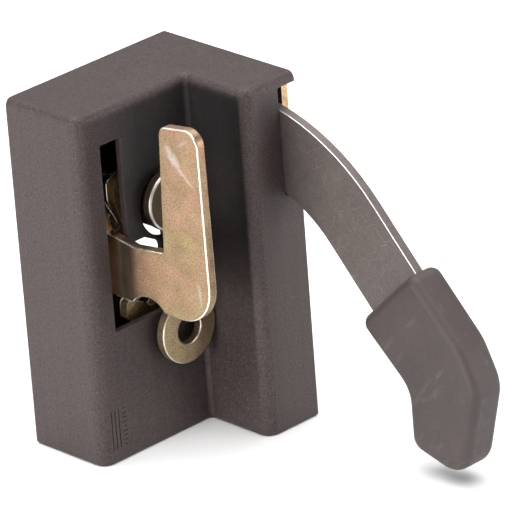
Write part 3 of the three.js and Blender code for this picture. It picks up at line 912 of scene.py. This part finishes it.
def latch_arm():
    """A flat arm: a hub on the spindle, a foot out through the cover, an upright finger and a round toe."""
    profile = [
        (26, 52.2, 6),
        (69, 51.8, 13),
        (68.4, 116.2, 5),
        (52.1, 114, 3.5),
        (49.9, 72.6, 0.8),
        (37, 70.9, 3),
        (25, 72.8, 3),
        (20, 84, 4),
        (8, 84, 4),
        (5, 72, 4),
    ]
    front, back = ARM_FACES
    rings = round_ends(front, back, 0.6)
    arm = cut(
        add(plate("y", profile, rings), plate("y", disc(SPINDLE, 9.6), rings)),
        opening("y", disc((41.5, 46.4), 9), ARM_FACES, 0.5),
        prism("y", spindle_square(0.25), front - 1, back + 1),
    )
    placed(arm, "latch_arm", "arm", ARM_ZINC)


def spindle():
    """A bar that is square between two round journals, with a groove for its clip."""
    bar = plate("y", spindle_square(0.0, 0.5), round_ends(-56.8, -8, 0.3, steps=3))
    radius, end, rim = SPINDLE_JOURNAL, -62.7, 0.6
    front = turned("y", SPINDLE, [(0, end), (radius, end, rim), (radius, -55), (0, -55)])
    rear = turned("y", SPINDLE, [(0, -9), (radius, -9), (radius, -0.2, rim), (0, -0.2)])
    groove = tube("y", SPINDLE, 2.7, 6, end + 1, end + 2, 0)
    placed(cut(add(bar, front, rear), groove), "spindle", "arm", BRIGHT)


def wire(points, radius):
    """A round wire with closed ends, drawn through points."""
    curve = bpy.data.curves.new("wire", "CURVE")
    curve.dimensions = "3D"
    curve.bevel_depth = radius
    curve.bevel_resolution = 5
    curve.use_fill_caps = True
    path = curve.splines.new("NURBS")
    path.points.add(len(points) - 1)
    for control, point in zip(path.points, points):
        control.co = (*point, 1.0)
    path.use_endpoint_u = True
    path.order_u = 3
    path.resolution_u = 3
    drawn = linked("wire", curve)
    mesh = as_mesh(drawn)
    bpy.data.objects.remove(drawn)
    welded = bmesh.new()
    welded.from_mesh(mesh)
    bmesh.ops.remove_doubles(welded, verts=welded.verts, dist=0.001)
    return linked("wire", poured(welded, mesh))


def return_spring():
    """The torsion spring: wire wound on the sleeve, with a leg on the arm's foot and one on the frame."""
    x, z = SPINDLE
    coil_radius, wire_radius, turns = 7.0, 0.65, 5
    front, back = -48.6, -40.6
    leaves = 0.11  # the part of a turn, from the coil's top, where the front leg leaves it
    leg_height = 73 + wire_radius + GAP
    points = [
        (28.6, -53.6, leg_height),
        (28, -51, leg_height),
        (26.6, -49.3, leg_height + 0.8),
        (22, -48.9, 78.6),
    ]
    steps = 40 * turns
    for i in range(steps + 1):
        turn = i / steps * (turns + 0.25 - leaves)
        angle = math.pi / 2 - 2 * math.pi * (leaves + turn)
        y = front + (back - front) * turn / turns
        points.append((x + coil_radius * math.cos(angle), y, z + coil_radius * math.sin(angle)))
    end_x, end_y, end_z = points[-1]
    points += [(end_x, end_y, end_z - 4), (end_x + 0.2, end_y, end_z - 8)]
    coil = wire(points, wire_radius)
    dressed(coil, "return_spring", SPRING_STEEL, smooth_below=50)
    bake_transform(coil)


# ------------------------------------------------------------------ hand lever group


def lever_corners():
    """The lever's side view: a tail, a hub, a band of even width that bends once, and a tang in the grip."""
    x, z = 39.65, 33.85  # the middle of the bend
    radius, width, slope = 59.1, 26.2, math.radians(47.5)
    upper, lower = radius + width / 2, radius - width / 2
    reach = math.tan(slope / 2)

    def past_bend(edge, length):
        return (
            x + edge * math.sin(slope) + length * math.cos(slope),
            z + edge * math.cos(slope) - length * math.sin(slope),
        )

    return [
        (3.4, 79.2, 0.5),
        (5.9, 79.2, 0.5),
        (7, 84.6, 2.5),
        (17, 84.6, 1.5),
        (20.5, 77.5, 4),
        (30, 77.5, 4),
        (34, z + lower, 4),
        (x + lower * reach, z + lower, lower),
        (*past_bend(lower, 45), 4),
        (110.6, 24, 6),
        (111, 14, 3),
        (122.6, 12.4, 4),
        (130, 33, 6),
        (*past_bend(upper, 44), 5),
        (x + upper * reach, z + upper, upper),
        (30, z + upper, 12),
        (3.4, 90, 3),
    ]


def lever():
    """The flat curved lever, bored for its bush."""
    front, back = LEVER_FACES
    band = plate("y", lever_corners(), round_ends(front, back, 0.35, steps=4))
    bore = rod("y", LEVER_AXIS, 5.8, front - 1, back + 1)
    placed(cut(band, bore), "lever", "lever", DARK)


def grip():
    """The soft sleeve on the lever's tang, with full round rims and a socket the tang fits closely."""
    side = [
        (87.9, 44.6, 3.5),
        (106.8, 27.2, 10),
        (107, 8.6, 5),
        (128.6, 2.8, 9),
        (136.2, 34, 12),
        (129.8, 47, 16),
        (111, 66.6, 3.5),
    ]
    front, back = LEVER_FACES
    room = 0.12
    body = plate("y", side, round_ends(*either_side((front + back) / 2, 6.3), 3.0, steps=12))
    socket = plate("y", lever_corners(), [(front - room, room), (back + room, room)])
    placed(cut(body, socket), "grip", "lever", VINYL)


# ------------------------------------------------------------------ CAD nodes that keep their shape


def kept(names, material):
    """Small pieces stay as the CAD has them, with softened arrises and a finished material."""
    for name in names:
        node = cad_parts[name]
        node.data.materials.clear()
        node.data.materials.append(material)
        bevel = node.modifiers.new("arrises", "BEVEL")
        bevel.width = 0.00012
        bevel.segments = 2
        bevel.limit_method = "ANGLE"
        bevel.angle_limit = math.radians(40)


cover()
base_plate()
frame_plate()
for index, rivet_at in enumerate(FRAME_RIVETS):
    frame_rivet(rivet_at, f"frame_rivet_{index + 1}")
for index, screw in enumerate(COVER_SCREWS):
    cover_screw(*screw, f"cover_screw_{index + 1}")
stand_off()
eye_plate()
boss_rivet()
latch_arm()
spindle()
return_spring()
lever()
grip()
kept(["lift_crank"], ZINC)
kept(["crank_pin", "front_spacer", "rear_spacer", "spindle_clip"], BRIGHT)
kept(["lever_pivot", "lever_washer_rear", "lever_washer_front", "lever_clip", "lever_stop"], BRIGHT)
kept(["spring_sleeve", "front_bush", "rear_bush", "lever_bush"], NYLON)
kept(["stop_sleeve"], VINYL)

# ------------------------------------------------------------------ floor, light and camera


def floor():
    """A plain pale floor under the cover."""
    shape = bmesh.new()
    bmesh.ops.create_circle(shape, cap_ends=True, segments=96, radius=6.0)
    made = linked("floor", poured(shape, bpy.data.meshes.new("floor")))
    made.data.materials.append(pale_floor())
    made.location = (0, 0, cover_low.z)


def toward(azimuth, elevation):
    """The unit vector from the latch towards a place given by two angles in radians."""
    level = math.cos(elevation)
    return Vector((math.sin(azimuth) * level, -math.cos(azimuth) * level, math.sin(elevation)))


def softbox(name, direction, distance, size, power):
    """A square area light that faces the latch from an (azimuth, elevation) in degrees."""
    away = toward(*(math.radians(a) for a in direction))
    light = bpy.data.lights.new(name, "AREA")
    light.shape = "SQUARE"
    light.size = size
    light.energy = power
    made = linked(name, light)
    made.location = away * distance
    made.rotation_euler = away.to_track_quat("Z", "Y").to_euler()


def surroundings():
    """White surroundings, dim on the side that the latch's inner corner faces."""
    dim_side = (0.62, -0.58, 0.53)
    world = bpy.data.worlds.new("studio")
    bpy.context.scene.world = world
    world.use_nodes = True
    tree = world.node_tree
    direction = tree.nodes.new("ShaderNodeTexCoord").outputs["Generated"]
    facing = tree.nodes.new("ShaderNodeVectorMath")
    facing.operation = "DOT_PRODUCT"
    tree.links.new(direction, facing.inputs[0])
    facing.inputs[1].default_value = dim_side
    fall = tree.nodes.new("ShaderNodeMapRange")
    fall.interpolation_type = "SMOOTHSTEP"
    tree.links.new(facing.outputs["Value"], fall.inputs["Value"])
    for name, value in (("From Min", -0.3), ("From Max", 0.5), ("To Min", 0.63), ("To Max", 0.02)):
        fall.inputs[name].default_value = value
    tree.links.new(fall.outputs[0], tree.nodes["Background"].inputs["Strength"])
    tree.nodes["Background"].inputs["Color"].default_value = (1.0, 1.0, 1.0, 1.0)


def studio():
    """The surroundings and four lights, as direction, distance and size in metres, and power in watts."""
    surroundings()
    softbox("key", (6, 4), 1.3, 0.5, 13.5)
    softbox("left", (-45, 8), 1.5, 0.8, 5)
    softbox("side", (115, 8), 1.5, 0.8, 11)
    softbox("overhead", (50, 85), 1.5, 2.2, 62)
    bpy.context.scene.view_settings.view_transform = "Standard"


def camera():
    """A long lens that looks down on the latch's inner corner, rolled a little."""
    azimuth, elevation, roll = (math.radians(a) for a in (46.96, 23.85, -4.39))
    stands_at = (1.2517, -1.1058, 0.7289)
    back = toward(azimuth, elevation)
    right = Vector((math.cos(azimuth), math.sin(azimuth), 0.0))
    up = back.cross(right)
    across = right * math.cos(roll) + up * math.sin(roll)
    above = up * math.cos(roll) - right * math.sin(roll)
    data = bpy.data.cameras.new("camera")
    data.lens = 423.4
    data.sensor_width = 36.0
    data.clip_end = 50.0
    made = linked("camera", data)
    turn = Matrix((across, above, back)).transposed()
    made.matrix_world = Matrix.Translation(stands_at) @ turn.to_4x4()
    bpy.context.scene.camera = made


floor()
studio()
camera()
